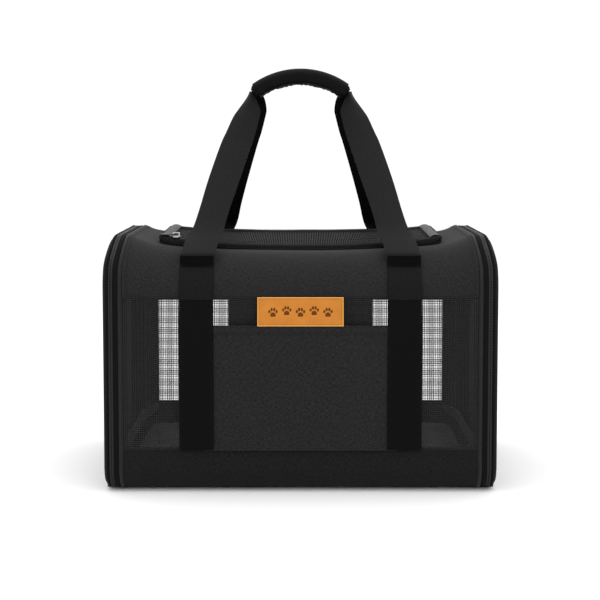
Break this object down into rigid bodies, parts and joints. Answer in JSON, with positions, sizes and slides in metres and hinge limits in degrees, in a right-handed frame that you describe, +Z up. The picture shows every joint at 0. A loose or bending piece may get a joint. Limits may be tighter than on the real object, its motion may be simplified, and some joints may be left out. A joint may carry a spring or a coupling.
{
  "type": "pet carrier bag",
  "caption": "Soft-sided pet carrier bag with mesh windows, zipped mesh lid, hinged end doors, slip pockets, removable mat and a wrapped webbing handle.",
  "frame": {"origin": "middle of the base, on the surface that the bag stands on", "axes": "+X along the length to the right as seen from the front, -Y towards the front with the label, +Z up"},
  "size_m": [0.44, 0.2942, 0.4775],
  "materials": {
    "polyester": "black heathered woven polyester, matt",
    "mesh_net": "black open square mesh, matt",
    "binding_tape": "black grosgrain binding tape",
    "webbing": "black ribbed polyester webbing",
    "leather": "tan leather, debossed, stitched edge",
    "wrap": "black smooth padded cloth, slight sheen",
    "nickel": "polished nickel",
    "black_enamel": "black enamel, slight gloss",
    "zipper": "black nylon coil on woven tape",
    "piping": "black woven cloth over cord",
    "spring_steel": "bright flat spring wire",
    "board": "black stiff board",
    "fleece": "dark grey short-pile fleece"
  },
  "bodies": {
    "root": {"back_binding": "binding_tape", "back_lower_band": "polyester", "back_mesh": "mesh_net", "back_pocket": "polyester", "floor_panel": "polyester", "front_binding": "binding_tape", "front_lower_band": "polyester", "front_mesh": "mesh_net", "front_pocket": "polyester", "label": "leather", "left_back_leg": "webbing", "left_back_strap": "webbing", "left_front_leg": "webbing", "left_front_strap": "webbing", "left_gusset": "polyester", "left_hinge_tape": "polyester", "left_piping": "piping", "left_sill": "polyester", "left_spring_hoop": "spring_steel", "left_zip_track": "zipper", "lid_zip_track": "zipper", "right_back_leg": "webbing", "right_back_strap": "webbing", "right_front_leg": "webbing", "right_front_strap": "webbing", "right_gusset": "polyester", "right_hinge_tape": "polyester", "right_piping": "piping", "right_sill": "polyester", "right_spring_hoop": "spring_steel", "right_zip_track": "zipper", "top_panel": "polyester"},
    "lid": {"lid_border": "polyester", "lid_mesh": "mesh_net"},
    "lid_slider": {"lid_slider": "nickel"},
    "lid_pull": {"lid_pull": "black_enamel"},
    "handle": {"handle_wrap": "wrap", "front_grip_strap": "webbing", "back_grip_strap": "webbing"},
    "mat": {"base_board": "board", "fleece_mat": "fleece"},
    "left_door": {"left_door_frame": "polyester", "left_door_mesh": "mesh_net", "left_door_zip": "zipper"},
    "left_door_slider": {"left_door_slider": "nickel"},
    "left_door_pull": {"left_door_pull": "black_enamel"},
    "right_door": {"right_door_frame": "polyester", "right_door_mesh": "mesh_net", "right_door_zip": "zipper"},
    "right_door_slider": {"right_door_slider": "nickel"},
    "right_door_pull": {"right_door_pull": "black_enamel"}
  },
  "joints": [
    {"name": "lid_hinge", "type": "hinge", "parent": "root", "child": "lid", "pos_m": [0, 0.077, 0.2804], "axis": [-1, 0, 0], "range_deg": [0, 60]},
    {"name": "lid_slider_run", "type": "slide", "parent": "lid", "child": "lid_slider", "axis": [1, 0, 0], "range_m": [0, 0.286]},
    {"name": "lid_pull_swing", "type": "hinge", "parent": "lid_slider", "child": "lid_pull", "pos_m": [-0.1424, -0.0735, 0.2889], "axis": [0, 1, 0], "range_deg": [0, 150]},
    {"name": "handle_drop", "type": "slide", "parent": "root", "child": "handle", "axis": [0, 0, 1], "range_m": [-0.1, 0], "deforming": ["left_front_leg", "left_back_leg", "right_front_leg", "right_back_leg"]},
    {"name": "mat_lift", "type": "slide", "parent": "root", "child": "mat", "axis": [0, 0, 1], "range_m": [0, 0.1]},
    {"name": "left_door_hinge", "type": "hinge", "parent": "root", "child": "left_door", "pos_m": [-0.22, 0, 0.001], "axis": [0, -1, 0], "range_deg": [0, 90]},
    {"name": "left_door_slider_run", "type": "slide", "parent": "root", "child": "left_door_slider", "axis": [0, 0, 1], "range_m": [0, 0.165]},
    {"name": "left_door_pull_swing", "type": "hinge", "parent": "left_door_slider", "child": "left_door_pull", "pos_m": [-0.211, 0.1439, 0.0486], "axis": [1, 0, 0], "range_deg": [0, 150]},
    {"name": "right_door_hinge", "type": "hinge", "parent": "root", "child": "right_door", "pos_m": [0.22, 0, 0.001], "axis": [0, 1, 0], "range_deg": [0, 90]},
    {"name": "right_door_slider_run", "type": "slide", "parent": "root", "child": "right_door_slider", "axis": [0, 0, 1], "range_m": [0, 0.165]},
    {"name": "right_door_pull_swing", "type": "hinge", "parent": "right_door_slider", "child": "right_door_pull", "pos_m": [0.211, 0.1439, 0.0486], "axis": [1, 0, 0], "range_deg": [0, 150]}
  ]
}
